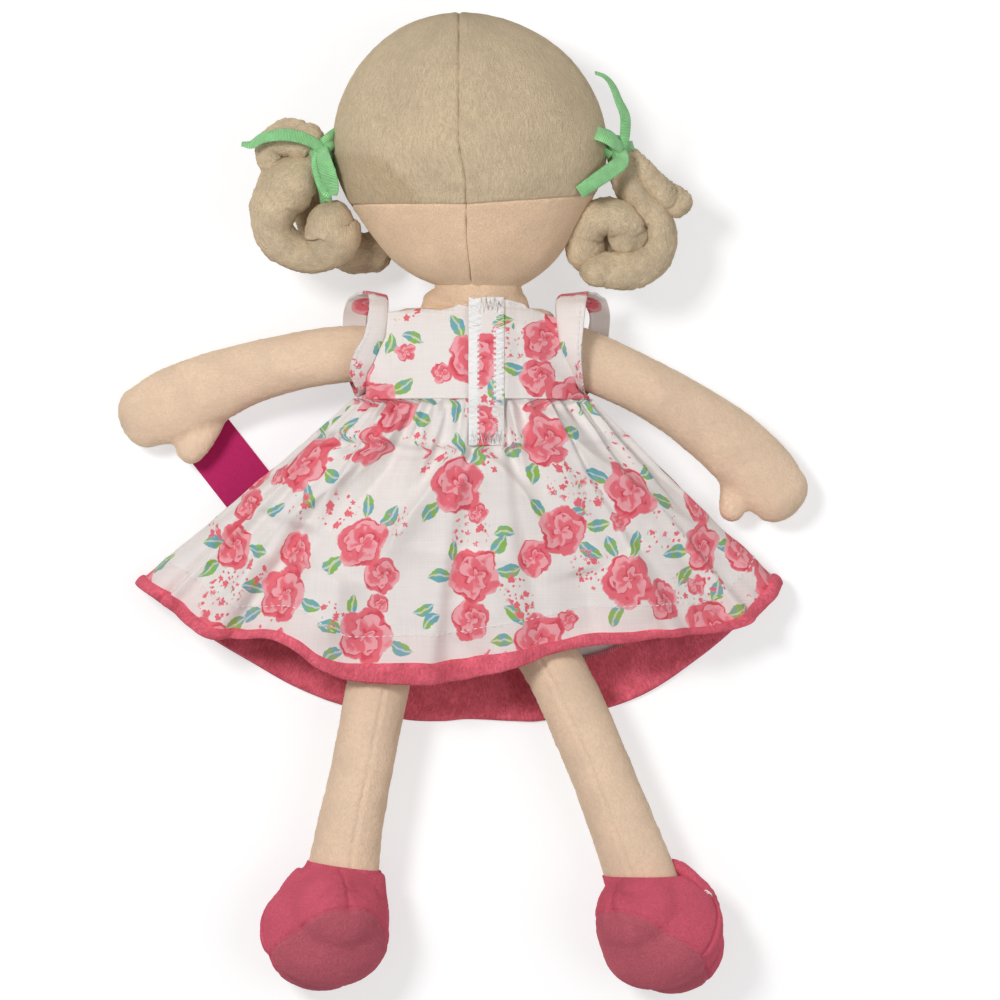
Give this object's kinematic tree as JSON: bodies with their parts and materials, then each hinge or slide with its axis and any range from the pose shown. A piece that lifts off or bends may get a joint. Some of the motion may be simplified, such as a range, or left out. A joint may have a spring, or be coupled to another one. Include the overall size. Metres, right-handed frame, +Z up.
{
  "type": "rag doll",
  "caption": "Stuffed cloth doll with plush hair in two tied bunches, floppy limbs and a printed cotton dress, lying face down.",
  "frame": {"origin": "on the surface that the doll lies on, under the middle of its box", "axes": "+Y to the top of the head, +X to the doll's right hand, +Z up from the surface, out of the doll's back"},
  "size_m": [0.2714, 0.3826, 0.0795],
  "materials": {
    "skin_plush": "short pile plush",
    "hair_plush": "short pile plush, brushed down",
    "pink_plush": "short pile plush",
    "printed_cotton": "plain weave with a floral print",
    "green_ribbon": "narrow woven ribbon",
    "crimson_felt": "felt",
    "white_tape": "hook and loop tape",
    "stuffed_lining": "plain lining",
    "magenta_card": "coated card",
    "clear_plastic": "clear moulded"
  },
  "bodies": {
    "root": {"torso": "skin_plush", "bodice_front": "printed_cotton", "bodice_back_left": "printed_cotton", "bodice_back_right": "printed_cotton", "loop_tape": "white_tape", "hook_tape": "white_tape", "left_sleeve": "printed_cotton", "right_sleeve": "printed_cotton", "skirt": "printed_cotton", "hem_band": "pink_plush"},
    "neck": {"neck": "skin_plush"},
    "head": {"head_stuffing": "stuffed_lining", "hair_back_left": "hair_plush", "hair_back_right": "hair_plush", "nape_left": "skin_plush", "nape_right": "skin_plush", "face_panel": "skin_plush", "fringe_left": "hair_plush", "fringe_right": "hair_plush", "hair_flower": "crimson_felt"},
    "left_bunch": {"left_curl_1": "hair_plush", "left_curl_2": "hair_plush", "left_curl_3": "hair_plush", "left_ribbon": "green_ribbon"},
    "right_bunch": {"right_curl_1": "hair_plush", "right_curl_2": "hair_plush", "right_curl_3": "hair_plush", "right_ribbon": "green_ribbon"},
    "left_arm": {"left_arm": "skin_plush", "tag_fastener": "clear_plastic"},
    "right_arm": {"right_arm": "skin_plush"},
    "tag": {"card_tag": "magenta_card"},
    "left_leg": {"left_leg": "skin_plush", "left_shoe_upper": "pink_plush", "left_shoe_sole": "pink_plush", "left_shoe_strap": "pink_plush"},
    "right_leg": {"right_leg": "skin_plush", "right_shoe_upper": "pink_plush", "right_shoe_sole": "pink_plush", "right_shoe_strap": "pink_plush"}
  },
  "joints": [
    {"name": "head_nod", "type": "hinge", "parent": "root", "child": "neck", "pos_m": [0.00396, 0.07493, 0.0346], "axis": [1, 0, 0], "range_deg": [-15, 15]},
    {"name": "head_turn", "type": "hinge", "parent": "neck", "child": "head", "pos_m": [0.00601, 0.08493, 0.0395], "axis": [0, 1, 0], "range_deg": [-35, 35]},
    {"name": "left_bunch_swing", "type": "hinge", "parent": "head", "child": "left_bunch", "pos_m": [-0.0545, 0.13823, 0.0395], "axis": [0, 0, 1], "range_deg": [-25, 0], "deforming": ["left_ribbon"]},
    {"name": "right_bunch_swing", "type": "hinge", "parent": "head", "child": "right_bunch", "pos_m": [0.0603, 0.13823, 0.0395], "axis": [0, 0, 1], "range_deg": [0, 25], "deforming": ["right_ribbon"]},
    {"name": "left_arm_swing", "type": "hinge", "parent": "root", "child": "left_arm", "pos_m": [-0.03544, 0.05933, 0.031], "axis": [-0.0336, 0.9994, 0], "range_deg": [-70, 60], "deforming": ["left_sleeve"]},
    {"name": "right_arm_swing", "type": "hinge", "parent": "root", "child": "right_arm", "pos_m": [0.04336, 0.05933, 0.031], "axis": [-0.4208, -0.9071, 0], "range_deg": [-70, 60], "deforming": ["right_sleeve"]},
    {"name": "tag_swing", "type": "hinge", "parent": "left_arm", "child": "tag", "pos_m": [-0.10789, 0.03581, 0.0006], "axis": [0, 0, 1], "range_deg": [-60, 60]},
    {"name": "left_leg_swing", "type": "hinge", "parent": "root", "child": "left_leg", "pos_m": [-0.02479, -0.03147, 0.025], "axis": [-1, 0, 0], "range_deg": [-90, 30], "deforming": ["skirt", "hem_band"]},
    {"name": "right_leg_swing", "type": "hinge", "parent": "root", "child": "right_leg", "pos_m": [0.02171, -0.03147, 0.025], "axis": [-1, 0, 0], "range_deg": [-90, 30], "deforming": ["skirt", "hem_band"]}
  ]
}
